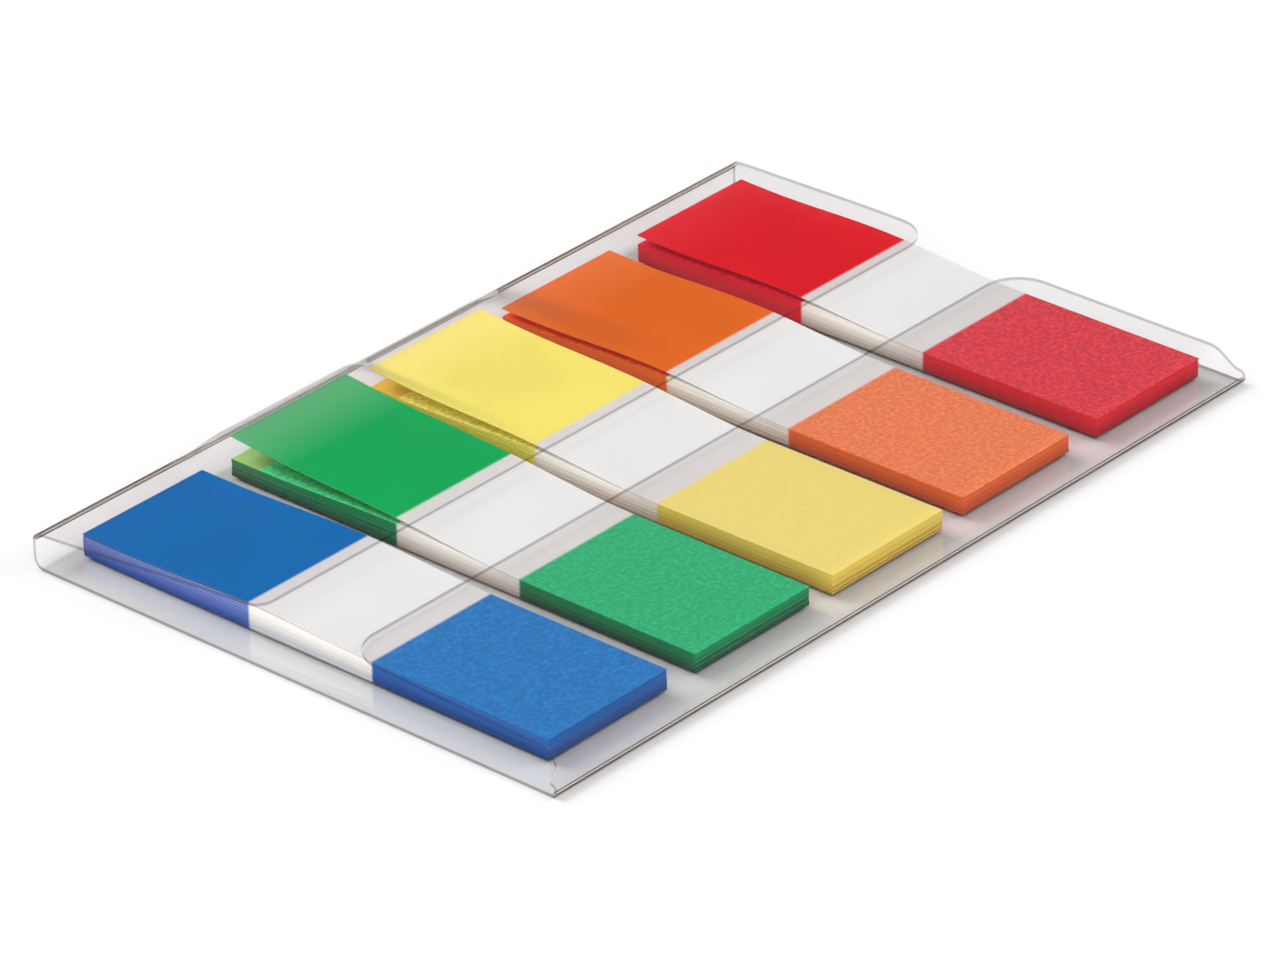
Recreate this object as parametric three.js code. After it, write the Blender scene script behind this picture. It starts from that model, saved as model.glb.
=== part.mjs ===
import * as THREE from 'three';

// Sticky index tabs: five pads of narrow film flags, side by side in a holder folded from one clear film.
// Millimetres, +Z up. +X runs along the row of pads from blue to red, +Y from the low fold of the holder
// to its tall fold. The origin is under the middle of the holder, on the surface that it lies on.

// Flags: film that is coloured over colouredLength at one end and frosted over the rest. They lie in turn
// end for end, so a pad is coloured at both ends.
const flagLength = 43.2;
const flagWidth = 11.9;
const colouredLength = 15.9;
const topFlagThickness = 0.1;
const flagRoughness = 0.35;

// Pads, in their order along the row. gap is the space between a pad and the one before it, inset the
// space from the low fold to the pad's end, stack the pad's thickness, hump what its middle adds to that,
// arch how far the top flag bows off the stack and lift how far the flag's free end stands up.
const pads = [
  { name: 'blue', colour: 0x196fb2, gap: 3.1, inset: 3.5, stack: 1.5, hump: 0.4, arch: 0.05, lift: 0.1 },
  { name: 'green', colour: 0x09aa5f, gap: 2.9, inset: 3.5, stack: 1.35, hump: 0.35, arch: 0.05, lift: 1.8 },
  { name: 'yellow', colour: 0xf4e272, gap: 2.0, inset: 3.1, stack: 1.45, hump: 0.35, arch: 0.1, lift: 1.45 },
  { name: 'orange', colour: 0xe56f2f, gap: 2.4, inset: 3.2, stack: 1.35, hump: 0.35, arch: 0.25, lift: 0.6 },
  { name: 'red', colour: 0xdc2435, gap: 2.9, inset: 3.0, stack: 1.45, hump: 0.35, arch: 0.25, lift: 0.7 },
];
const lastMargin = 1.6;
const farMargin = 1.7;

// A stack's ends show it in layers of a few flags, each up to layerStray short of the flag's length.
const stackLayers = 10;
const layerStray = 0.09;
const strayStep = 2.4;

// Measured along a flag from its low end: the hump starts at humpStart, is highest at humpTop and is as
// long again on the far side. The top flag leaves the stack at peelPlace, and peelPower bends it up.
const humpStart = 15;
const humpTop = 27.5;
const peelPlace = 18;
const peelPower = 1.5;

// Holder film
const filmThickness = 0.25;
const tallFoldHeight = 2.8;
const tallFoldRadius = 0.45;
const tallFootRadius = 0.8;
const lowFoldHeight = 1.1;
const lowFoldRadius = 0.4;
const flapOverlap = 2.0;
const flapClearance = 0.15;
const filmColour = 0xdfe3e6;
const filmRoughness = 0.08;

// Flap outlines: the corners at the window are round, and the flaps are trimmed back at the blue end.
const flapCornerRadius = 3.0;
const flapTrim = 2.5;
const tallFlapTrimAtFold = 0.2;
const lowFlapTrimAtFold = 1.7;
const lowFlapTrimRun = 1.2;

// The free ends of the top flags that stand up push the tall flap up. The bulge that each makes spreads
// past the pad's sides and opens the fold. The rest of the flap comes level over this share of its run.
const bulgeSpread = 5.5;
const bulgeRise = 1.0;
const levelShare = 0.8;

// Mesh density. The rows of a flap lie closer together at its fold by foldCrowding.
const filmStations = 24;
const tallFlapRows = 14;
const lowFlapRows = 8;
const cornerRows = 5;
const foldCrowding = 1.5;
const arcSteps = 3;
const flagSteps = 16;
const slopeStep = 1e-4;

function smooth(t) {
  const c = Math.min(Math.max(t, 0), 1);
  return c * c * (3 - 2 * c);
}

// Places along the row: the low X side of each pad, and the holder's length.
let reach = 0;
for (const pad of pads) {
  reach += pad.gap;
  pad.start = reach;
  reach += flagWidth;
}
const holderLength = reach + lastMargin;

// Places across the row: the pads' ends at the low fold, the holder's width and the flaps' edges.
const nearestEnd = Math.min(...pads.map((pad) => pad.inset));
const farthestEnd = Math.max(...pads.map((pad) => pad.inset));
const holderWidth = farthestEnd + flagLength + farMargin;
const tallFlapEdge = farthestEnd + flagLength - colouredLength - flapOverlap;
const lowFlapEdge = farthestEnd + colouredLength + flapOverlap;

// Height of a stack's upper face over the holder's base at s from its low end.
function stackHeight(pad, s) {
  const t = Math.max(0, 1 - Math.abs(s - humpTop) / (humpTop - humpStart));
  return pad.stack + pad.hump * smooth(t);
}

// How far the top flag stands off the stack at s.
function flagStandOff(pad, s) {
  const t = Math.max(0, (s - peelPlace) / (flagLength - peelPlace));
  return pad.arch * Math.sin(Math.PI * t) ** 2 + pad.lift * t ** peelPower;
}

// A closed outline in Y and Z, drawn out along X.
function drawnOut(outline, width) {
  const shape = new THREE.Shape(outline.map(([y, z]) => new THREE.Vector2(y, z)));
  const geometry = new THREE.ExtrudeGeometry(shape, { depth: width, bevelEnabled: false });
  const yzx = new THREE.Matrix4().makeBasis(
    new THREE.Vector3(0, 1, 0),
    new THREE.Vector3(0, 0, 1),
    new THREE.Vector3(1, 0, 0),
  );
  return geometry.applyMatrix4(yzx);
}

// Places along a flag where its outline has a point: its low end, then even steps from the hump's start.
function flagStations() {
  const steps = Array.from({ length: flagSteps + 1 }, (_, k) => k / flagSteps);
  return [0, ...steps.map((t) => humpStart + (flagLength - humpStart) * t)];
}

function stackOutline(pad) {
  const outline = [];
  const layerEnd = (k) => layerStray * Math.sin(strayStep * k + pad.start) ** 2;
  for (let k = 0; k < stackLayers; k += 1) {
    const rise = stackHeight(pad, 0) / stackLayers;
    const end = k === stackLayers - 1 ? 0 : layerEnd(k);
    outline.push([end, rise * k], [end, rise * (k + 1)]);
  }
  for (const s of flagStations().slice(1, -1)) outline.push([s, stackHeight(pad, s)]);
  for (let k = stackLayers - 1; k >= 0; k -= 1) {
    const rise = stackHeight(pad, flagLength) / stackLayers;
    const end = flagLength - (k === stackLayers - 1 ? 0 : layerEnd(k + stackLayers));
    outline.push([end, rise * (k + 1)], [end, rise * k]);
  }
  return outline.reverse();
}

function topFlagOutline(pad) {
  const under = flagStations().map((s) => [s, stackHeight(pad, s) + flagStandOff(pad, s)]);
  const upper = under.map(([s, z]) => [s, z + topFlagThickness]).reverse();
  return [...under, ...upper];
}

function flagMaterial(pad) {
  return new THREE.MeshStandardMaterial({ color: pad.colour, roughness: flagRoughness, metalness: 0 });
}

function padPieces(pad) {
  const stack = new THREE.Mesh(drawnOut(stackOutline(pad), flagWidth), flagMaterial(pad));
  stack.name = `${pad.name}_pad`;
  const flag = new THREE.Mesh(drawnOut(topFlagOutline(pad), flagWidth), flagMaterial(pad));
  flag.name = `${pad.name}_top_flag`;
  for (const piece of [stack, flag]) piece.position.set(pad.start, pad.inset, filmThickness);
  return [stack, flag];
}

// Upper face of a pad's top flag, at y across the holder.
function padTop(pad, y) {
  const s = Math.min(Math.max(y - pad.inset, 0), flagLength);
  return filmThickness + stackHeight(pad, s) + flagStandOff(pad, s) + topFlagThickness;
}

// Middle of a film that clears the given pads between two places across the holder.
function clearMiddle(somePads, fromY, toY) {
  const samples = Array.from({ length: flagSteps + 1 }, (_, k) => fromY + ((toY - fromY) * k) / flagSteps);
  const highest = Math.max(...somePads.flatMap((pad) => samples.map((y) => padTop(pad, y))));
  return highest + flapClearance + filmThickness / 2;
}

const half = filmThickness / 2;

// Tall flap: just clear of the flags at the window, and pushed up by those that stand up. Places on it
// go by their share of the way from the end of the fold to the window.
const tallFold = { y: holderWidth - half - tallFoldRadius, z: tallFoldHeight - half - tallFoldRadius };
const tallFlapLength = tallFold.y - tallFlapEdge;
const windowMiddle = clearMiddle(pads, tallFlapEdge, tallFlapEdge + (1 - levelShare) * tallFlapLength);

function risingMiddle(startZ, share) {
  return startZ + (windowMiddle - startZ) * smooth(share / levelShare);
}

function bulgeShape(share) {
  return (1 - Math.exp((-share * tallFlapLength) / bulgeRise)) * (1 - share);
}

// What a pad's top flag needs the flap to rise by, if its free end stands up.
function bulgeHeight(pad) {
  let height = 0;
  for (let k = 0; k <= flagSteps; k += 1) {
    const y = pad.inset + flagLength - (levelShare * tallFlapLength * k) / flagSteps;
    const share = (tallFold.y - y - half) / tallFlapLength;
    const short = clearMiddle([pad], y, y) - risingMiddle(tallFold.z + tallFoldRadius, share);
    height = Math.max(height, short / bulgeShape(share));
  }
  return height;
}
for (const pad of pads) pad.bulge = bulgeHeight(pad);

function bulgeAt(x) {
  const heights = pads.map(({ start, bulge }) => {
    const rising = smooth((x - start + bulgeSpread) / bulgeSpread);
    const falling = smooth((start + flagWidth + bulgeSpread - x) / bulgeSpread);
    return bulge * rising * falling;
  });
  return Math.max(...heights);
}

// Angle that the bulge opens the tall fold by.
function foldTilt(x) {
  return Math.atan(bulgeAt(x) / bulgeRise);
}

function tallFlapPlace(x, share) {
  const tilt = foldTilt(x);
  const startY = tallFold.y + tallFoldRadius * Math.sin(tilt);
  const startZ = tallFold.z + tallFoldRadius * Math.cos(tilt);
  const y = startY + (tallFlapEdge - startY) * share;
  return [y, risingMiddle(startZ, share) + bulgeAt(x) * bulgeShape(share)];
}

// Low flap: it rises from the fold to the nearest pad's end, then lies level over the pads.
const lowFold = { y: half + lowFoldRadius, z: lowFoldHeight - half - lowFoldRadius };
const lowFlapLength = lowFlapEdge - lowFold.y;
const lowFlapLevel = clearMiddle(pads, nearestEnd, lowFlapEdge);

function lowFlapPlace(x, share) {
  const y = lowFold.y + lowFlapLength * share;
  const startZ = lowFold.z + lowFoldRadius;
  return [y, startZ + (lowFlapLevel - startZ) * smooth((y - lowFold.y) / (nearestEnd - lowFold.y))];
}

// How far a flap's rounded corner cuts in, at d from the flap's edge at the window.
function cornerCut(d) {
  const inside = Math.max(0, flapCornerRadius - d);
  return flapCornerRadius - Math.sqrt(flapCornerRadius ** 2 - inside ** 2);
}

// Shares across a flap, from its fold to the window, closer together at the fold and round the corner.
function flapShares(length, rows) {
  const straight = 1 - flapCornerRadius / length;
  const shares = [];
  for (let k = 1; k < rows; k += 1) shares.push(straight * (k / rows) ** foldCrowding);
  for (let k = 0; k <= cornerRows; k += 1) {
    shares.push(straight + (1 - straight) * Math.sin((Math.PI / 2) * (k / cornerRows)));
  }
  return shares;
}

// One row of the film: its middle's place at x, the way out of the film there, and how far the row's two
// ends are cut back.
function row(place, normal, frontCut = 0, backCut = 0) {
  return { place, normal, frontCut, backCut };
}

// Rows round a bend. The angles it runs between may change along X.
function arcRows(centre, radius, from, to) {
  const rows = [];
  for (let k = 0; k <= arcSteps; k += 1) {
    const out = (x) => {
      const angle = from(x) + ((to(x) - from(x)) * k) / arcSteps;
      return [Math.cos(angle), Math.sin(angle)];
    };
    const place = (x) => [centre.y + radius * out(x)[0], centre.z + radius * out(x)[1]];
    rows.push(row(place, out));
  }
  return rows;
}

// Way up out of a flap.
function flapNormal(flapPlace, x, share) {
  const before = flapPlace(x, share - slopeStep);
  const after = flapPlace(x, share + slopeStep);
  const run = Math.abs(after[0] - before[0]);
  const slope = (after[1] - before[1]) / (after[0] - before[0]);
  const size = Math.hypot(run, slope * run);
  return [(-slope * run) / size, run / size];
}

function flapRows(length, rows, flapPlace, frontTrim) {
  return flapShares(length, rows).map((share) => {
    const corner = cornerCut(length * (1 - share));
    const place = (x) => flapPlace(x, share);
    const normal = (x) => flapNormal(flapPlace, x, share);
    return row(place, normal, frontTrim(share) + corner, corner);
  });
}

function filmRows() {
  const tallTrim = (share) => tallFlapTrimAtFold + (flapTrim - tallFlapTrimAtFold) * share;
  const lowTrim = (share) => {
    const cut = lowFlapTrimAtFold + (flapTrim - lowFlapTrimAtFold) * share;
    return cut * smooth((share * lowFlapLength) / lowFlapTrimRun);
  };
  const turn = (quarters) => () => (quarters * Math.PI) / 2;
  const tallFoot = { y: holderWidth - half - tallFootRadius, z: half + tallFootRadius };
  const lowFoot = { y: half + lowFoldRadius, z: half + lowFoldRadius };
  return [
    ...flapRows(tallFlapLength, tallFlapRows, tallFlapPlace, tallTrim).reverse(),
    ...arcRows(tallFold, tallFoldRadius, (x) => Math.PI / 2 - foldTilt(x), turn(0)),
    ...arcRows(tallFoot, tallFootRadius, turn(0), turn(-1)),
    ...arcRows(lowFoot, lowFoldRadius, turn(-1), turn(-2)),
    ...arcRows(lowFold, lowFoldRadius, turn(-2), turn(-3)),
    ...flapRows(lowFlapLength, lowFlapRows, lowFlapPlace, lowTrim),
  ];
}

// The film is a grid of rows and stations, once on each face, closed by its four cut edges.
function filmGeometry() {
  const rows = filmRows();
  const stations = filmStations + 1;
  const positions = [];
  for (const side of [1, -1]) {
    for (const { place, normal, frontCut, backCut } of rows) {
      for (let k = 0; k < stations; k += 1) {
        const x = frontCut + ((holderLength - backCut - frontCut) * k) / filmStations;
        const [y, z] = place(x);
        const [ny, nz] = normal(x);
        const offset = (side * filmThickness) / 2;
        positions.push(x, y + offset * ny, z + offset * nz);
      }
    }
  }
  const outer = (r, k) => r * stations + k;
  const inner = (r, k) => (rows.length + r) * stations + k;
  const faces = [];
  const quad = (a, b, c, d) => faces.push(a, b, c, a, c, d);
  for (let r = 0; r < rows.length - 1; r += 1) {
    for (let k = 0; k < filmStations; k += 1) {
      quad(outer(r, k), outer(r, k + 1), outer(r + 1, k + 1), outer(r + 1, k));
      quad(inner(r, k), inner(r + 1, k), inner(r + 1, k + 1), inner(r, k + 1));
    }
    quad(outer(r, 0), outer(r + 1, 0), inner(r + 1, 0), inner(r, 0));
    const end = filmStations;
    quad(outer(r + 1, end), outer(r, end), inner(r, end), inner(r + 1, end));
  }
  const last = rows.length - 1;
  for (let k = 0; k < filmStations; k += 1) {
    quad(outer(0, k + 1), outer(0, k), inner(0, k), inner(0, k + 1));
    quad(outer(last, k), outer(last, k + 1), inner(last, k + 1), inner(last, k));
  }
  const geometry = new THREE.BufferGeometry();
  geometry.setAttribute('position', new THREE.Float32BufferAttribute(positions, 3));
  geometry.setIndex(faces);
  return geometry;
}

function filmHolder() {
  const look = { color: filmColour, roughness: filmRoughness, metalness: 0 };
  const holder = new THREE.Mesh(filmGeometry(), new THREE.MeshStandardMaterial(look));
  holder.name = 'film_holder';
  return holder;
}

const tabs = new THREE.Group();
tabs.add(filmHolder(), ...pads.flatMap(padPieces));
tabs.position.set(-holderLength / 2, -holderWidth / 2, 0);

export default tabs;
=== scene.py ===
"""Sticky index tabs: five pads of narrow film flags in a holder that is folded from one clear film.

Lengths are in millimetres until they reach a mesh or a light. Places are measured from the holder's corner
at the blue pad and the low fold: x along the row of pads, y from the low fold to the tall fold, z up.
"""
import math
import random

import bpy
from mathutils import Matrix, Vector


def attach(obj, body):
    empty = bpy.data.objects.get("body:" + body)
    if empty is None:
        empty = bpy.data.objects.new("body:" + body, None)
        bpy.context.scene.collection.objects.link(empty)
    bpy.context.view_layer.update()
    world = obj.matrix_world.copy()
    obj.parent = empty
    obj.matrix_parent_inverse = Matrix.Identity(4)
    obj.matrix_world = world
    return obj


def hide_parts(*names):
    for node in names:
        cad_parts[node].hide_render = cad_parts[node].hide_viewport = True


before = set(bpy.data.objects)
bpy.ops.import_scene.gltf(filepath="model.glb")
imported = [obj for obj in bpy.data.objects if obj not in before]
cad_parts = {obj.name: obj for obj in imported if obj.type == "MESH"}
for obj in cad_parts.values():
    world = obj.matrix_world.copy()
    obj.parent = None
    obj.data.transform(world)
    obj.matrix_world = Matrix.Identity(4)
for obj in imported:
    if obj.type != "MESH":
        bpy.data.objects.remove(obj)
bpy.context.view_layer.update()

MM = 0.001

# Sizes of the flags and pads
FLAG_LENGTH = 43.2
FLAG_WIDTH = 11.9
COLOURED_LENGTH = 15.9
UPPER_FLAG_THICKNESS = 0.07
SOLID_FLAG_THICKNESS = 0.1  # of the frame's plain flag, which the holder also clears
STACK_FLAGS = 18
FLAG_SHARE_OF_PITCH = 0.94  # the rest is the gap between two stacked flags
END_STRAY = 0.09
SIDE_STRAY = 0.05
HUMP_START = 15.0  # from the flag's low end, as the next two
HUMP_TOP = 27.5
PEEL_PLACE = 18.0
PEEL_POWER = 1.5
FLAG_STATIONS = 72  # steps along a flag's mesh

# Each pad's measures and colours, some of them with painted light or shade, in the order of the row:
#   gap     space to the pad or cut end before it
#   inset   space from the holder's edge at the low fold to the pad's end
#   stack   height of the stack at its ends
#   hump    how much higher the stack's middle is
#   arch    how far the upper flag bows off the stack midway along its free part
#   lift    how far the upper flag's free end stands off the stack
#   gloss   upper flag's printed end
#   matt    coloured end that shows through a frosted part
#   deep    cut edges of the coloured ends
#   under   stack below a lifted flag, painted lighter for light that glows through the flag
#   tip     the stack's last few millimetres
#   foot_shade  painted shade on the cut edges of the frosted parts near the base
#   stripe  cut edges at the tall end of the flags that are coloured at the low end
#   glow_highlight  painted glow of the lifted end and painted highlight on the upper flag's cut rim
#   mottle  how much the matt colour varies
#   end_glow  how far the lifted end goes towards its painted glow
PADS = [
    {"name": "blue", "gap": 3.1, "inset": 3.5, "stack": 1.5, "hump": 0.4, "arch": 0.05, "lift": 0.1,
     "gloss": "#0070ba", "matt": "#2c7dc0", "deep": "#1f4ca8", "under": "#3f74c4", "tip": "#3a68b0",
     "foot_shade": "#b4b8bf", "stripe": "#9397b0", "mottle": 0.07, "end_glow": 0.0, "glow_highlight": "#4a90cc"},
    {"name": "green", "gap": 2.9, "inset": 3.5, "stack": 1.35, "hump": 0.35, "arch": 0.05, "lift": 1.8,
     "gloss": "#00af5c", "matt": "#35b47c", "deep": "#174e36", "under": "#52dc8c", "tip": "#9cc070",
     "foot_shade": "#a8978a", "stripe": "#00a155", "mottle": 0.07, "end_glow": 0.6, "glow_highlight": "#84c49a"},
    {"name": "yellow", "gap": 2.0, "inset": 3.1, "stack": 1.45, "hump": 0.35, "arch": 0.1, "lift": 1.45,
     "gloss": "#f1e878", "matt": "#ebdc82", "deep": "#f8c43c", "under": "#ffe476", "tip": "#dcb850",
     "foot_shade": "#a8937a", "stripe": "#ded56e", "mottle": 0.006, "end_glow": 0.5, "glow_highlight": "#fbf0a0"},
    {"name": "orange", "gap": 2.4, "inset": 3.2, "stack": 1.35, "hump": 0.35, "arch": 0.25, "lift": 0.6,
     "gloss": "#e67016", "matt": "#e4865a", "deep": "#f05a28", "under": "#f8652f", "tip": "#f0562a",
     "foot_shade": "#a8937f", "stripe": "#d46714", "mottle": 0.06, "end_glow": 0.5, "glow_highlight": "#f08a50"},
    {"name": "red", "gap": 2.9, "inset": 3.0, "stack": 1.45, "hump": 0.35, "arch": 0.25, "lift": 0.7,
     "gloss": "#e20420", "matt": "#d5424d", "deep": "#dc2030", "under": "#ee1a48", "tip": "#e01c44",
     "foot_shade": "#a09488", "stripe": "#d0041d", "mottle": 0.09, "end_glow": 0.4, "glow_highlight": "#ea4050"},
]
LAST_MARGIN = 1.6  # from the red pad to the cut end
FAR_MARGIN = 1.7  # from the pads to the tall fold's outer side

# Sizes of the holder film
FILM_THICKNESS = 0.25
TALL_FOLD_HEIGHT = 2.8
TALL_FOLD_RADIUS = 0.45
TALL_FOOT_RADIUS = 0.8
LOW_FOLD_HEIGHT = 1.1
LOW_FOLD_RADIUS = 0.4
FLAP_OVERLAP = 2.0  # of a flap over the frosted middle
FLAP_CLEARANCE = 0.15  # of a flap over the highest flag
FLAP_CORNER_RADIUS = 3.0
TIGHT_CORNER_RADIUS = 1.2  # of the tall flap at the blue pad
LOW_FLAP_TRIM = 2.5  # what a flap's edge is shorter by at the blue pad's end
TALL_FLAP_TRIM = 2.2
TALL_FLAP_TRIM_AT_FOLD = 0.2
LOW_FLAP_TRIM_AT_FOLD = 1.7
LOW_FLAP_TRIM_RUN = 1.2  # from the fold to where the cut reaches that trim
BULGE_SPREAD = 5.5  # how far a bulge over a lifted flag reaches beside the pad
BULGE_RISE = 1.0  # how far from the fold it takes to rise
LEVEL_SHARE = 0.8  # share of the tall flap after which it lies level
FILM_STATIONS = 180  # steps along the film's mesh
TALL_FLAP_ROWS = 34
LOW_FLAP_ROWS = 22
CORNER_ROWS = 10
FOLD_CROWDING = 1.5  # rows lie closer by the fold, where the flap bends most
ARC_STEPS = 8
CLEAR_SAMPLES = 16

reach = 0.0
for pad in PADS:
    reach += pad["gap"]
    pad["start"] = reach
    reach += FLAG_WIDTH
HOLDER_LENGTH = reach + LAST_MARGIN
NEAREST_END = min(pad["inset"] for pad in PADS)
FARTHEST_END = max(pad["inset"] for pad in PADS)
HOLDER_WIDTH = FARTHEST_END + FLAG_LENGTH + FAR_MARGIN
TALL_FLAP_EDGE = FARTHEST_END + FLAG_LENGTH - COLOURED_LENGTH - FLAP_OVERLAP
LOW_FLAP_EDGE = FARTHEST_END + COLOURED_LENGTH + FLAP_OVERLAP


def in_frame(x, y, z):
    """A place in the holder's millimetres, as a point of the frame in metres."""
    return Vector((x - HOLDER_LENGTH / 2, y - HOLDER_WIDTH / 2, z)) * MM


# Forms
def smooth(t):
    """Eases from 0 to 1 as t does, level at both ends."""
    c = min(max(t, 0.0), 1.0)
    return c * c * (3 - 2 * c)


def stack_height(pad, s):
    """Height of a stack's upper face over the holder's base, at s from the stack's low end."""
    t = max(0.0, 1 - abs(s - HUMP_TOP) / (HUMP_TOP - HUMP_START))
    return pad["stack"] + pad["hump"] * smooth(t)


def stand_off(pad, s):
    """How far the upper flag stands off the stack at s."""
    t = min(1.0, max(0.0, (s - PEEL_PLACE) / (FLAG_LENGTH - PEEL_PLACE)))
    return pad["arch"] * math.sin(math.pi * t) ** 2 + pad["lift"] * t**PEEL_POWER


def mesh_piece(name, points, faces, materials, face_materials, sharp_angle=35):
    """A closed piece from points in the frame, smooth apart from edges sharper than sharp_angle."""
    mesh = bpy.data.meshes.new(name)
    mesh.from_pydata(points, [], faces)
    for material in materials:
        mesh.materials.append(material)
    mesh.polygons.foreach_set("material_index", face_materials)
    mesh.shade_smooth()
    mesh.set_sharp_from_angle(angle=math.radians(sharp_angle))
    mesh.validate()
    piece = bpy.data.objects.new(name, mesh)
    bpy.context.scene.collection.objects.link(piece)
    return piece


def add_strip(points, faces, face_materials, pad, span, sides, lower, upper, slot):
    """Adds one flag: a thin strip from span[0] to span[1] along the pad, between two height functions."""
    first = len(points)
    for k in range(FLAG_STATIONS + 1):
        s = span[0] + (span[1] - span[0]) * k / FLAG_STATIONS
        for x, height in ((sides[0], lower), (sides[1], lower), (sides[1], upper), (sides[0], upper)):
            points.append(in_frame(pad["start"] + x, pad["inset"] + s, FILM_THICKNESS + height(s)))
    for k in range(FLAG_STATIONS):
        a, b = first + 4 * k, first + 4 * (k + 1)
        for side in range(4):
            after = (side + 1) % 4
            faces.append((a + side, a + after, b + after, b + side))
            face_materials.append(slot)
    last = first + 4 * FLAG_STATIONS
    faces.append((first, first + 3, first + 2, first + 1))
    faces.append((last, last + 1, last + 2, last + 3))
    face_materials.extend([slot, slot])


def flag_stack(pad, odd_film, even_film):
    """The flags under a pad's upper flag, each its own strip, turned end for end in turn."""
    stray = random.Random(pad["name"])
    points, faces, face_materials = [], [], []
    for k in range(STACK_FLAGS):
        bottom, top = k / STACK_FLAGS, (k + FLAG_SHARE_OF_PITCH) / STACK_FLAGS
        span = (END_STRAY * stray.random(), FLAG_LENGTH - END_STRAY * stray.random())
        shift = SIDE_STRAY * (stray.random() - 0.5)
        sides = (max(0.0, shift), FLAG_WIDTH + min(0.0, shift))
        add_strip(points, faces, face_materials, pad, span, sides,
                  lambda s, share=bottom: share * stack_height(pad, s),
                  lambda s, share=top: share * stack_height(pad, s), k % 2)
    return mesh_piece(f"{pad['name']}_flag_stack", points, faces, [even_film, odd_film], face_materials)


def upper_flag(pad, film):
    """The pad's top flag, which leaves the stack towards the tall fold."""
    points, faces, face_materials = [], [], []
    add_strip(points, faces, face_materials, pad, (0.0, FLAG_LENGTH), (0.0, FLAG_WIDTH),
              lambda s: stack_height(pad, s) + stand_off(pad, s),
              lambda s: stack_height(pad, s) + stand_off(pad, s) + UPPER_FLAG_THICKNESS, 0)
    return mesh_piece(f"{pad['name']}_upper_flag", points, faces, [film], face_materials)


def pad_top(pad, y):
    """Height that the holder's flaps have to clear over a pad, with a flag as thick as the solid one."""
    s = min(max(y - pad["inset"], 0.0), FLAG_LENGTH)
    return FILM_THICKNESS + stack_height(pad, s) + stand_off(pad, s) + SOLID_FLAG_THICKNESS


def clear_middle(pads, from_y, to_y):
    """Middle height of a film that clears the pads between two places across the holder."""
    places = [from_y + (to_y - from_y) * k / CLEAR_SAMPLES for k in range(CLEAR_SAMPLES + 1)]
    highest = max(pad_top(pad, y) for pad in pads for y in places)
    return highest + FLAP_CLEARANCE + FILM_THICKNESS / 2


HALF = FILM_THICKNESS / 2
TALL_FOLD = (HOLDER_WIDTH - HALF - TALL_FOLD_RADIUS, TALL_FOLD_HEIGHT - HALF - TALL_FOLD_RADIUS)
TALL_FOOT = (HOLDER_WIDTH - HALF - TALL_FOOT_RADIUS, HALF + TALL_FOOT_RADIUS)
LOW_FOLD = (HALF + LOW_FOLD_RADIUS, LOW_FOLD_HEIGHT - HALF - LOW_FOLD_RADIUS)
LOW_FOOT = (HALF + LOW_FOLD_RADIUS, HALF + LOW_FOLD_RADIUS)
TALL_FLAP_LENGTH = TALL_FOLD[0] - TALL_FLAP_EDGE
LOW_FLAP_LENGTH = LOW_FLAP_EDGE - LOW_FOLD[0]
WINDOW_MIDDLE = clear_middle(PADS, TALL_FLAP_EDGE, TALL_FLAP_EDGE + (1 - LEVEL_SHARE) * TALL_FLAP_LENGTH)
LOW_FLAP_LEVEL = clear_middle(PADS, NEAREST_END, LOW_FLAP_EDGE)


def rising_middle(start_z, share):
    """Middle height of the tall flap without its bulges, from its fold to the window."""
    return start_z + (WINDOW_MIDDLE - start_z) * smooth(share / LEVEL_SHARE)


def bulge_shape(share):
    """A bulge's height across the tall flap, from its fold to its edge."""
    return (1 - math.exp(-share * TALL_FLAP_LENGTH / BULGE_RISE)) * (1 - share)


def bulge_height(pad):
    """What a pad's upper flag needs the tall flap to rise by."""
    height = 0.0
    for k in range(CLEAR_SAMPLES + 1):
        y = pad["inset"] + FLAG_LENGTH - LEVEL_SHARE * TALL_FLAP_LENGTH * k / CLEAR_SAMPLES
        share = (TALL_FOLD[0] - y - HALF) / TALL_FLAP_LENGTH
        short = clear_middle([pad], y, y) - rising_middle(TALL_FOLD[1] + TALL_FOLD_RADIUS, share)
        height = max(height, short / bulge_shape(share))
    return height


for pad in PADS:
    pad["bulge"] = bulge_height(pad)


def bulge_at(x):
    """Height of the bulge at x: the highest of those that the pads make."""
    return max(
        pad["bulge"]
        * smooth((x - pad["start"] + BULGE_SPREAD) / BULGE_SPREAD)
        * smooth((pad["start"] + FLAG_WIDTH + BULGE_SPREAD - x) / BULGE_SPREAD)
        for pad in PADS
    )


def fold_tilt(x):
    """How far a bulge turns the tall fold open at x."""
    return math.atan(bulge_at(x) / BULGE_RISE)


def tall_flap_place(x, share):
    """Middle of the tall flap, at a share of the way from its fold to its edge."""
    tilt = fold_tilt(x)
    start_y = TALL_FOLD[0] + TALL_FOLD_RADIUS * math.sin(tilt)
    start_z = TALL_FOLD[1] + TALL_FOLD_RADIUS * math.cos(tilt)
    y = start_y + (TALL_FLAP_EDGE - start_y) * share
    return y, rising_middle(start_z, share) + bulge_at(x) * bulge_shape(share)


def low_flap_place(x, share):
    """Middle of the low flap, at a share of the way from its fold to its edge."""
    y = LOW_FOLD[0] + LOW_FLAP_LENGTH * share
    start_z = LOW_FOLD[1] + LOW_FOLD_RADIUS
    return y, start_z + (LOW_FLAP_LEVEL - start_z) * smooth((y - LOW_FOLD[0]) / (NEAREST_END - LOW_FOLD[0]))


def corner_cut(d, radius):
    """What a rounded corner takes off the flap's length, at d from the flap's edge."""
    inside = max(0.0, radius - d)
    return radius - math.sqrt(radius**2 - inside**2)


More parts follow.
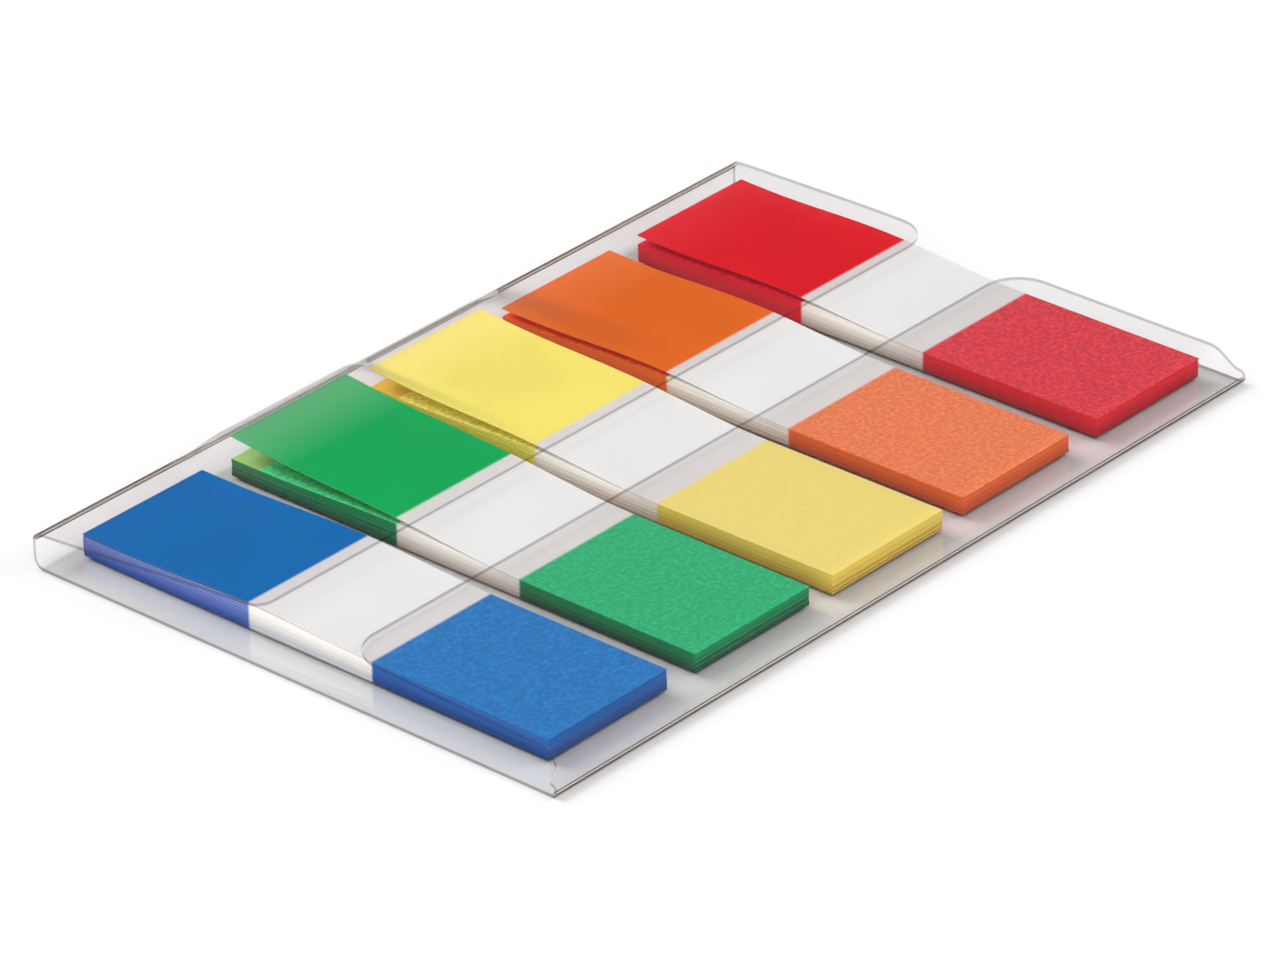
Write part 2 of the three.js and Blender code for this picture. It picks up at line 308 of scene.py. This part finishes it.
def flap_shares(length, rows):
    """Shares of a flap's length at which its rows lie, closest by its fold and round its corners."""
    straight = 1 - FLAP_CORNER_RADIUS / length
    shares = [straight * (k / rows) ** FOLD_CROWDING for k in range(1, rows)]
    for k in range(CORNER_ROWS + 1):
        shares.append(straight + (1 - straight) * math.sin(math.pi / 2 * k / CORNER_ROWS))
    return shares


def flap_normal(place, x, share, step=1e-4):
    """The way out of the flap's upper face, as its y and z."""
    before, after = place(x, share - step), place(x, share + step)
    slope = (after[1] - before[1]) / (after[0] - before[0])
    size = math.hypot(1.0, slope)
    return -slope / size, 1.0 / size


def flap_rows(length, rows, place, trim, first_radius):
    """Rows of the film across a flap: place at x, way out at x, cut at the blue end, cut at the red end."""
    made = []
    for share in flap_shares(length, rows):
        d = length * (1 - share)
        made.append((
            lambda x, share=share: place(x, share),
            lambda x, share=share: flap_normal(place, x, share),
            trim(share) + corner_cut(d, first_radius), corner_cut(d, FLAP_CORNER_RADIUS),
        ))
    return made


def arc_rows(centre, radius, start, end):
    """Rows round a bend, between two angles that may change along x."""
    made = []
    for k in range(ARC_STEPS + 1):
        def out(x, share=k / ARC_STEPS):
            angle = start(x) + (end(x) - start(x)) * share
            return math.cos(angle), math.sin(angle)

        def place(x, out=out):
            return centre[0] + radius * out(x)[0], centre[1] + radius * out(x)[1]

        made.append((place, out, 0.0, 0.0))
    return made


def film_rows():
    """All rows of the film in one run, from the tall flap's edge round the base to the low flap's edge."""
    def tall_trim(share):
        return TALL_FLAP_TRIM_AT_FOLD + (TALL_FLAP_TRIM - TALL_FLAP_TRIM_AT_FOLD) * share

    def low_trim(share):
        cut = LOW_FLAP_TRIM_AT_FOLD + (LOW_FLAP_TRIM - LOW_FLAP_TRIM_AT_FOLD) * share
        return cut * smooth(share * LOW_FLAP_LENGTH / LOW_FLAP_TRIM_RUN)

    def turn(quarters):
        return lambda x: quarters * math.pi / 2

    return [
        *reversed(flap_rows(TALL_FLAP_LENGTH, TALL_FLAP_ROWS, tall_flap_place, tall_trim,
                            TIGHT_CORNER_RADIUS)),
        *arc_rows(TALL_FOLD, TALL_FOLD_RADIUS, lambda x: math.pi / 2 - fold_tilt(x), turn(0)),
        *arc_rows(TALL_FOOT, TALL_FOOT_RADIUS, turn(0), turn(-1)),
        *arc_rows(LOW_FOOT, LOW_FOLD_RADIUS, turn(-1), turn(-2)),
        *arc_rows(LOW_FOLD, LOW_FOLD_RADIUS, turn(-2), turn(-3)),
        *flap_rows(LOW_FLAP_LENGTH, LOW_FLAP_ROWS, low_flap_place, low_trim,
                   FLAP_CORNER_RADIUS),
    ]


SHEET, CUT_EDGE, CREASE_SHADE = 0, 1, 2  # materials of the film's mesh


def holder_film(film, cut_edge, crease_shade):
    """The holder: a grid of rows and stations on each face of the film, closed along its four cut edges."""
    rows = film_rows()
    across = FILM_STATIONS + 1
    points, faces, face_materials = [], [], []
    for side in (1, -1):
        for place, out, front_cut, back_cut in rows:
            for k in range(across):
                x = front_cut + (HOLDER_LENGTH - back_cut - front_cut) * k / FILM_STATIONS
                y, z = place(x)
                out_y, out_z = out(x)
                points.append(in_frame(x, y + side * HALF * out_y, z + side * HALF * out_z))
    inner = len(rows) * across
    tall_fold = TALL_FLAP_ROWS + CORNER_ROWS
    low_foot = tall_fold + 2 * (ARC_STEPS + 1)
    for r in range(len(rows) - 1):
        # Painted shade: the tall fold's crest and the low fold's foot take the film with darker tints.
        bent = any(first <= r < first + ARC_STEPS for first in (tall_fold, low_foot))
        for k in range(FILM_STATIONS):
            a, b = r * across + k, (r + 1) * across + k
            faces.append((a, a + 1, b + 1, b))
            faces.append((inner + a, inner + b, inner + b + 1, inner + a + 1))
            face_materials.extend([CREASE_SHADE if bent else SHEET] * 2)
        for k, turned in ((0, False), (FILM_STATIONS, True)):
            a, b = r * across + k, (r + 1) * across + k
            rim = (a, b, inner + b, inner + a)
            faces.append(rim[::-1] if turned else rim)
            face_materials.append(CUT_EDGE)
    for r, turned in ((0, True), (len(rows) - 1, False)):
        for k in range(FILM_STATIONS):
            a = r * across + k
            rim = (a, a + 1, inner + a + 1, inner + a)
            faces.append(rim[::-1] if turned else rim)
            face_materials.append(CUT_EDGE)
    materials = [film, cut_edge, crease_shade]
    return mesh_piece("holder_film", points, faces, materials, face_materials, sharp_angle=50)


# Materials
FACTOR, FIRST, SECOND, MIXED = 0, 6, 7, 2  # sockets of a Mix node that blends colours

FILM_IOR = 1.5
FROSTED_ROUGHNESS = 0.55
PRINTED_ROUGHNESS = 0.3
CUT_ROUGHNESS = 0.5
TRANSLUCENT_SHARE = 0.35
FROSTED_WHITE = "#dfdedd"
FROSTED_EDGE = "#faf5ee"
ADHESIVE_GRAIN = 0.34  # between the small pale places where the adhesive has not wetted the next flag
UPPER_SPOTS = (0.38, 0.72)  # noise values between which the mottles go from dark to pale
STACK_SPOTS = (0.3, 0.7)
FROSTED_RELIEF = 0.006
PRINTED_RELIEF = 0.004
UPPER_RELIEF_DEPTH = 0.03
STACK_RELIEF = 0.4
STACK_RELIEF_DEPTH = 0.02
CLOUD_SIZE = 6.0  # of the faint unevenness along a flag
COLOUR_EDGE_BLUR = 0.12
# Painted glow: over this length the lifted end is painted paler, for light that shows through it.
END_GLOW_LENGTH = 6.0  # of the lifted end over which it pales
TIP_START = 2.9  # from the stack's tall end
TIP_BLUR = 0.2
# Painted highlight: between these tilts the upper flag's cut rim is painted pale.
RIM_HIGHLIGHT_TILT = (0.5, 0.3)  # share of up in a face's way out, from flag face to cut rim
FACE_TILT = (0.4, 0.6)  # the same, from cut edge to the stack's upper face
SHADED_FOOT = 0.35  # height at which the cut edges are darkest
LIT_HEAD = 1.7  # height at which the cut edges are lightest
LEAST_GLOSS = 0.02
LEAST_GLOSS_AT_BASE = 0.08  # where the film lies on the table, it mirrors the pads' sides
MOST_GLOSS = 0.8
GLOSS_POWER = 5.0
TINT_POWER = 6.0
BASE_FACE = (0.30, 0.26)  # heights between which the film turns into the base that lies on the table
RIPPLE_SIZE = 9.0  # of the film's faint waves
RIPPLE_STRENGTH = 0.3
RIPPLE_DEPTH = 0.15


def linear(hex_colour, strength=1.0):
    """The linear colour of an sRGB hex value, made lighter or darker by a factor."""
    channels = [min(255, round(int(hex_colour[k:k + 2], 16) * strength)) / 255 for k in (1, 3, 5)]
    return [c / 12.92 if c <= 0.04045 else ((c + 0.055) / 1.055) ** 2.4 for c in channels] + [1.0]


def add_node(tree, kind, inputs=(), output=0, **settings):
    """Adds a node and gives one of its outputs. Each input is a value or another node's output."""
    node = tree.nodes.new(kind)
    for name, value in settings.items():
        setattr(node, name, value)
    for name, value in dict(inputs).items():
        if isinstance(value, bpy.types.NodeSocket):
            tree.links.new(value, node.inputs[name])
        else:
            node.inputs[name].default_value = value
    return node.outputs[output] if len(node.outputs) else None


def new_material(name):
    """An empty material and its node tree."""
    material = bpy.data.materials.new(name)
    material.use_nodes = True
    material.node_tree.nodes.clear()
    return material, material.node_tree


def along_flag(tree, pad):
    """The place on a flag, its y, its shares in the low and the tall coloured end, and the film's grain."""
    place = add_node(tree, "ShaderNodeTexCoord", output="Object")
    y = add_node(tree, "ShaderNodeSeparateXYZ", {"Vector": place}, "Y")
    low_edge = in_frame(0, pad["inset"] + COLOURED_LENGTH, 0).y
    tall_edge = in_frame(0, pad["inset"] + FLAG_LENGTH - COLOURED_LENGTH, 0).y
    blur = COLOUR_EDGE_BLUR * MM
    low = add_node(tree, "ShaderNodeMapRange",
                   {"Value": y, "From Min": low_edge + blur, "From Max": low_edge - blur}, "Result")
    tall = add_node(tree, "ShaderNodeMapRange",
                    {"Value": y, "From Min": tall_edge - blur, "From Max": tall_edge + blur}, "Result")
    grain = add_node(tree, "ShaderNodeTexNoise",
                     {"Vector": place, "Scale": 1 / (ADHESIVE_GRAIN * MM), "Detail": 1.0}, "Fac")
    return place, y, low, tall, grain


def polyester_flag(pad):
    """Upper flag: polyester film, cast smooth. Its printed end is glossy and even, the rest is frosted.

    Through the frosted part the coloured end of the next flag shows lighter and matt, with small mottles
    where the adhesive touches it. The lifted end is painted paler, a painted glow for light that shows
    through it, and the cut rim is painted pale as a highlight. Light glows through the whole flag.
    """
    material, tree = new_material(f"{pad['name']} polyester flag")
    place, y, low, tall, grain = along_flag(tree, pad)
    spots = add_node(tree, "ShaderNodeMapRange",
                     {"Value": grain, "From Min": UPPER_SPOTS[0], "From Max": UPPER_SPOTS[1]}, "Result")
    mottled = add_node(tree, "ShaderNodeMix",
                       {FACTOR: spots,
                        FIRST: linear(pad["matt"], 1 - pad["mottle"] / 2),
                        SECOND: linear(pad["matt"], 1 + 1.5 * pad["mottle"])},
                       MIXED, data_type="RGBA")
    clouds = add_node(tree, "ShaderNodeTexNoise",
                      {"Vector": place, "Scale": 1 / (CLOUD_SIZE * MM), "Detail": 1.0}, "Fac")
    white = add_node(tree, "ShaderNodeMix",
                     {FACTOR: clouds, FIRST: linear(FROSTED_WHITE, 0.975), SECOND: linear(FROSTED_WHITE)},
                     MIXED, data_type="RGBA")
    printed = add_node(tree, "ShaderNodeMix",
                       {FACTOR: clouds,
                        FIRST: linear(pad["gloss"], 0.97),
                        SECOND: linear(pad["gloss"], 1.03)},
                       MIXED, data_type="RGBA")
    # Painted glow: the lifted end is painted towards a pale colour, for light that shows through it.
    end = in_frame(0, pad["inset"] + FLAG_LENGTH, 0).y
    end_glow_mask = add_node(tree, "ShaderNodeMapRange",
                      {"Value": y, "From Min": end - END_GLOW_LENGTH * MM, "From Max": end,
                       "To Max": pad["end_glow"]}, "Result")
    glowing_end = add_node(tree, "ShaderNodeMix",
                     {FACTOR: end_glow_mask, FIRST: printed, SECOND: linear(pad["glow_highlight"])}, MIXED, data_type="RGBA")
    # Painted highlight: where the face turns to the side, on the cut rim, the colour is painted pale as if
    # it caught light.
    normal = add_node(tree, "ShaderNodeNewGeometry", output="Normal")
    out_z = add_node(tree, "ShaderNodeSeparateXYZ", {"Vector": normal}, "Z")
    level = add_node(tree, "ShaderNodeMath", {0: out_z}, operation="ABSOLUTE")
    rim = add_node(tree, "ShaderNodeMapRange",
                   {"Value": level, "From Min": RIM_HIGHLIGHT_TILT[0], "From Max": RIM_HIGHLIGHT_TILT[1]}, "Result")
    rim_highlighted = add_node(tree, "ShaderNodeMix",
                      {FACTOR: rim, FIRST: glowing_end, SECOND: linear(pad["glow_highlight"])}, MIXED, data_type="RGBA")
    frosted = add_node(tree, "ShaderNodeMix", {FACTOR: low, FIRST: white, SECOND: mottled},
                       MIXED, data_type="RGBA")
    colour = add_node(tree, "ShaderNodeMix", {FACTOR: tall, FIRST: frosted, SECOND: rim_highlighted},
                      MIXED, data_type="RGBA")
    roughness = add_node(tree, "ShaderNodeMapRange",
                         {"Value": tall, "To Min": FROSTED_ROUGHNESS, "To Max": PRINTED_ROUGHNESS}, "Result")
    relief = add_node(tree, "ShaderNodeMapRange",
                      {"Value": tall, "To Min": FROSTED_RELIEF, "To Max": PRINTED_RELIEF}, "Result")
    bump = add_node(tree, "ShaderNodeBump",
                    {"Height": grain, "Strength": relief, "Distance": UPPER_RELIEF_DEPTH * MM}, "Normal")
    surface = add_node(tree, "ShaderNodeBsdfPrincipled",
                       {"Base Color": colour, "Roughness": roughness, "IOR": FILM_IOR, "Normal": bump},
                       "BSDF")
    glow = add_node(tree, "ShaderNodeBsdfTranslucent", {"Color": colour}, "BSDF")
    film = add_node(tree, "ShaderNodeMixShader", {0: TRANSLUCENT_SHARE, 1: surface, 2: glow}, "Shader")
    add_node(tree, "ShaderNodeOutputMaterial", {"Surface": film})
    return material


def stacked_film(pad, coloured_at_tall):
    """Flags in the stack: the same film, die cut, so its edges show printed or frosted film in turn.

    The cut edges are painted darker towards the base and lighter at the top, as painted shade and light.
    Under a lifted flag the adhesive's mottles show on the stack, in a colour painted lighter for light
    that glows through the flag, and its last few millimetres are of another tone.
    """
    material, tree = new_material(f"{pad['name']} cut film {'tall' if coloured_at_tall else 'low'}")
    place, y, low, tall, grain = along_flag(tree, pad)
    deep = pad["deep"]
    # Lit and shaded copies of the edge colours: each pair is painted shade at a cut edge's foot and painted
    # light at its top.
    if coloured_at_tall:
        low_side = linear(deep, 0.7), linear(pad["gloss"])
        tall_side = linear(deep, 0.85), linear(deep, 1.3)
    else:
        low_side = linear(deep, 0.72), linear(deep, 1.1)
        tall_side = linear(deep, 0.9), linear(pad["stripe"])
    z = add_node(tree, "ShaderNodeSeparateXYZ", {"Vector": place}, "Z")
    # Painted shade and light: each cut edge goes with height from its darker foot colour to its lighter top
    # colour.
    height = add_node(tree, "ShaderNodeMapRange",
                      {"Value": z, "From Min": SHADED_FOOT * MM, "From Max": LIT_HEAD * MM}, "Result")
    middle, at_low, at_tall = (
        add_node(tree, "ShaderNodeMix", {FACTOR: height, FIRST: foot_shade, SECOND: top_light}, MIXED, data_type="RGBA")
        for foot_shade, top_light in ((linear(pad["foot_shade"]), linear(FROSTED_EDGE)), low_side, tall_side)
    )
    low_cut = add_node(tree, "ShaderNodeMix", {FACTOR: low, FIRST: middle, SECOND: at_low},
                       MIXED, data_type="RGBA")
    cut = add_node(tree, "ShaderNodeMix", {FACTOR: tall, FIRST: low_cut, SECOND: at_tall},
                   MIXED, data_type="RGBA")
    # Painted light: the stack's face under a lifted flag is painted lighter, for light that glows through
    # the flag, with the adhesive's mottles on it.
    spots = add_node(tree, "ShaderNodeMapRange",
                     {"Value": grain, "From Min": STACK_SPOTS[0], "From Max": STACK_SPOTS[1]}, "Result")
    mottled = add_node(tree, "ShaderNodeMix",
                       {FACTOR: spots,
                        FIRST: linear(pad["under"], 0.88),
                        SECOND: linear(pad["under"], 1.12)},
                       MIXED, data_type="RGBA")
    end = in_frame(0, pad["inset"] + FLAG_LENGTH, 0).y
    tip = add_node(tree, "ShaderNodeMapRange",
                   {"Value": y, "From Min": end - TIP_START * MM,
                    "From Max": end - (TIP_START - TIP_BLUR) * MM}, "Result")
    tall_face = add_node(tree, "ShaderNodeMix", {FACTOR: tip, FIRST: mottled, SECOND: linear(pad["tip"])},
                         MIXED, data_type="RGBA")
    low_face = add_node(tree, "ShaderNodeMix",
                        {FACTOR: low, FIRST: linear(FROSTED_EDGE), SECOND: linear(pad["matt"])},
                        MIXED, data_type="RGBA")
    face = add_node(tree, "ShaderNodeMix", {FACTOR: tall, FIRST: low_face, SECOND: tall_face},
                    MIXED, data_type="RGBA")
    normal = add_node(tree, "ShaderNodeNewGeometry", output="Normal")
    out_z = add_node(tree, "ShaderNodeSeparateXYZ", {"Vector": normal}, "Z")
    up = add_node(tree, "ShaderNodeMapRange",
                  {"Value": out_z, "From Min": FACE_TILT[0], "From Max": FACE_TILT[1]}, "Result")
    colour = add_node(tree, "ShaderNodeMix", {FACTOR: up, FIRST: cut, SECOND: face},
                      MIXED, data_type="RGBA")
    bump = add_node(tree, "ShaderNodeBump",
                    {"Height": grain, "Strength": STACK_RELIEF, "Distance": STACK_RELIEF_DEPTH * MM},
                    "Normal")
    surface = add_node(tree, "ShaderNodeBsdfPrincipled",
                       {"Base Color": colour, "Roughness": CUT_ROUGHNESS, "IOR": FILM_IOR, "Normal": bump},
                       "BSDF")
    add_node(tree, "ShaderNodeOutputMaterial", {"Surface": surface})
    return material


def clear_sheet(name, facing_tint, grazing_tint, lying_shade_tint, roughness):
    """Clear rigid film, calendered and die cut: see-through, glossy and greyer where one looks along it."""
    material, tree = new_material(name)
    place = add_node(tree, "ShaderNodeTexCoord", output="Object")
    z = add_node(tree, "ShaderNodeSeparateXYZ", {"Vector": place}, "Z")
    base = add_node(tree, "ShaderNodeMapRange",
                    {"Value": z, "From Min": BASE_FACE[0] * MM, "From Max": BASE_FACE[1] * MM}, "Result")
    facing = add_node(tree, "ShaderNodeLayerWeight", {"Blend": 0.5}, "Facing")
    grazing = add_node(tree, "ShaderNodeMath", {0: facing, 1: TINT_POWER}, operation="POWER")
    steep = add_node(tree, "ShaderNodeMath", {0: facing, 1: GLOSS_POWER}, operation="POWER")
    # Painted shade: where the film lies on the table it takes the tint given for there.
    lying_shade = add_node(tree, "ShaderNodeMix",
                     {FACTOR: base, FIRST: linear(facing_tint), SECOND: linear(lying_shade_tint)},
                     MIXED, data_type="RGBA")
    tint = add_node(tree, "ShaderNodeMix", {FACTOR: grazing, FIRST: lying_shade, SECOND: linear(grazing_tint)},
                    MIXED, data_type="RGBA")
    least = add_node(tree, "ShaderNodeMapRange",
                     {"Value": base, "To Min": LEAST_GLOSS, "To Max": LEAST_GLOSS_AT_BASE}, "Result")
    mirror = add_node(tree, "ShaderNodeMapRange", {"Value": steep, "To Min": least, "To Max": MOST_GLOSS},
                      "Result")
    ripple = add_node(tree, "ShaderNodeTexNoise",
                      {"Vector": place, "Scale": 1 / (RIPPLE_SIZE * MM), "Detail": 1.0}, "Fac")
    bump = add_node(tree, "ShaderNodeBump",
                    {"Height": ripple, "Strength": RIPPLE_STRENGTH, "Distance": RIPPLE_DEPTH * MM}, "Normal")
    through = add_node(tree, "ShaderNodeBsdfTransparent", {"Color": tint}, "BSDF")
    gloss = add_node(tree, "ShaderNodeBsdfGlossy",
                     {"Color": linear("#ffffff"), "Roughness": roughness, "Normal": bump}, "BSDF")
    sheet = add_node(tree, "ShaderNodeMixShader", {0: mirror, 1: through, 2: gloss}, "Shader")
    add_node(tree, "ShaderNodeOutputMaterial", {"Surface": sheet})
    return material


# The object
def make_pads():
    for pad in PADS:
        upper_film = polyester_flag(pad)
        even_film, odd_film = stacked_film(pad, True), stacked_film(pad, False)
        stack = flag_stack(pad, odd_film, even_film)
        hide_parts(f"{pad['name']}_pad")
        flag = upper_flag(pad, upper_film)
        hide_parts(f"{pad['name']}_top_flag")
        for piece in (stack, flag):
            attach(piece, "root")


def make_holder():
    # The last tint of each film is painted shade where it lies on the table, darkest on the cut edge as a
    # painted contact shadow.
    clear = clear_sheet("clear rigid film", "#fffefe", "#463e39", "#fefefe", 0.04)
    cut_edge = clear_sheet("die cut film edge", "#cfcfd2", "#58585c", "#b2b0b4", 0.15)
    # Painted shade: this film's darker tints stand for the dark lines along the tall fold's crest and the
    # low fold's foot.
    crease_shade = clear_sheet("clear film with painted crease shade", "#a89c94", "#2c2624", "#d8d4d2", 0.12)
    holder = holder_film(clear, cut_edge, crease_shade)
    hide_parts("film_holder")
    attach(holder, "root")


# Studio
CAMERA_AZIMUTH = 48.40
CAMERA_ELEVATION = 28.91
CAMERA_ROLL = -1.05
CAMERA_DISTANCE = 519.4
CAMERA_AIM = (36.01, 24.27, 0)
IMAGE_WIDTH = 1280
LENS_IN_PIXELS = 7375.6
SENSOR_WIDTH = 36.0


def make_camera():
    """The photograph's camera: a long lens from above the low fold's blue corner."""
    azimuth = math.radians(CAMERA_AZIMUTH)
    elevation = math.radians(CAMERA_ELEVATION)
    roll = math.radians(CAMERA_ROLL)
    forward = Vector((math.sin(azimuth) * math.cos(elevation), math.cos(azimuth) * math.cos(elevation),
                      -math.sin(elevation)))
    right = forward.cross(Vector((0, 0, 1))).normalized()
    up = right.cross(forward)
    rolled_right = math.cos(roll) * right + math.sin(roll) * up
    rolled_up = -math.sin(roll) * right + math.cos(roll) * up
    axes = Matrix((rolled_right, rolled_up, -forward)).transposed().to_4x4()
    data = bpy.data.cameras.new("camera")
    data.sensor_width = SENSOR_WIDTH
    data.lens = LENS_IN_PIXELS / IMAGE_WIDTH * SENSOR_WIDTH
    data.clip_start = 0.01
    data.clip_end = 100.0
    camera = bpy.data.objects.new("camera", data)
    place = in_frame(*CAMERA_AIM) - forward * CAMERA_DISTANCE * MM
    camera.matrix_world = Matrix.Translation(place) @ axes
    bpy.context.scene.collection.objects.link(camera)
    bpy.context.scene.camera = camera


FLOOR_HALF = 8.0  # metres
FLOOR_DROP = 0.02  # keeps the card clear of the film that lies on it
FLOOR_GREY = "#cacaca"  # comes out white in the studio's light
FLOOR_ROUGHNESS = 0.9


def make_floor():
    mesh = bpy.data.meshes.new("floor")
    half, z = FLOOR_HALF, -FLOOR_DROP * MM
    corners = [(-half, -half, z), (half, -half, z), (half, half, z), (-half, half, z)]
    mesh.from_pydata(corners, [], [(0, 1, 2, 3)])
    material, tree = new_material("floor card")
    card = add_node(tree, "ShaderNodeBsdfPrincipled",
                    {"Base Color": linear(FLOOR_GREY), "Roughness": FLOOR_ROUGHNESS,
                     "Specular IOR Level": 0.0}, "BSDF")
    add_node(tree, "ShaderNodeOutputMaterial", {"Surface": card})
    mesh.materials.append(material)
    floor = bpy.data.objects.new("floor", mesh)
    bpy.context.scene.collection.objects.link(floor)


SKY_HEIGHTS = (0.7, 0.88)  # sine of the elevation, between the dim horizon and the bright sky
SKY_STRENGTH = 1.02
SOFTBOXES = [  # name, place and size in metres, power in watts
    ("left key softbox", (-0.15, 0.85, 0.75), 0.7, 14.4),
    ("right softbox", (0.75, -0.65, 0.6), 0.65, 10.0),
    ("front softbox", (-0.9, -0.35, 0.55), 1.25, 9.8),
]


def add_softbox(name, place, size, power):
    """A square softbox that faces the object. It isn't seen in the film's gloss."""
    data = bpy.data.lights.new(name, "AREA")
    data.shape = "SQUARE"
    data.size = size
    data.energy = power
    light = bpy.data.objects.new(name, data)
    light.location = place
    light.visible_glossy = False
    light.rotation_euler = (-Vector(place)).to_track_quat("-Z", "Y").to_euler()
    bpy.context.scene.collection.objects.link(light)


def make_light():
    """Three softboxes round the object, in a studio that is bright overhead and dim near the horizon."""
    world = bpy.data.worlds.new("studio")
    world.use_nodes = True
    tree = world.node_tree
    tree.nodes.clear()
    way = add_node(tree, "ShaderNodeTexCoord", output="Generated")
    up = add_node(tree, "ShaderNodeSeparateXYZ", {"Vector": way}, "Z")
    height = add_node(tree, "ShaderNodeMapRange",
                      {"Value": up, "From Min": SKY_HEIGHTS[0], "From Max": SKY_HEIGHTS[1]}, "Result")
    colour = add_node(tree, "ShaderNodeMix",
                      {FACTOR: height, FIRST: linear("#5c5c5c"), SECOND: linear("#ffffff")},
                      MIXED, data_type="RGBA")
    background = add_node(tree, "ShaderNodeBackground", {"Color": colour, "Strength": SKY_STRENGTH},
                          "Background")
    add_node(tree, "ShaderNodeOutputWorld", {"Surface": background})
    bpy.context.scene.world = world
    for softbox in SOFTBOXES:
        add_softbox(*softbox)


make_camera()
make_pads()
make_holder()
make_floor()
make_light()

scene = bpy.context.scene
scene.view_settings.view_transform = "Standard"
scene.cycles.transparent_max_bounces = 32
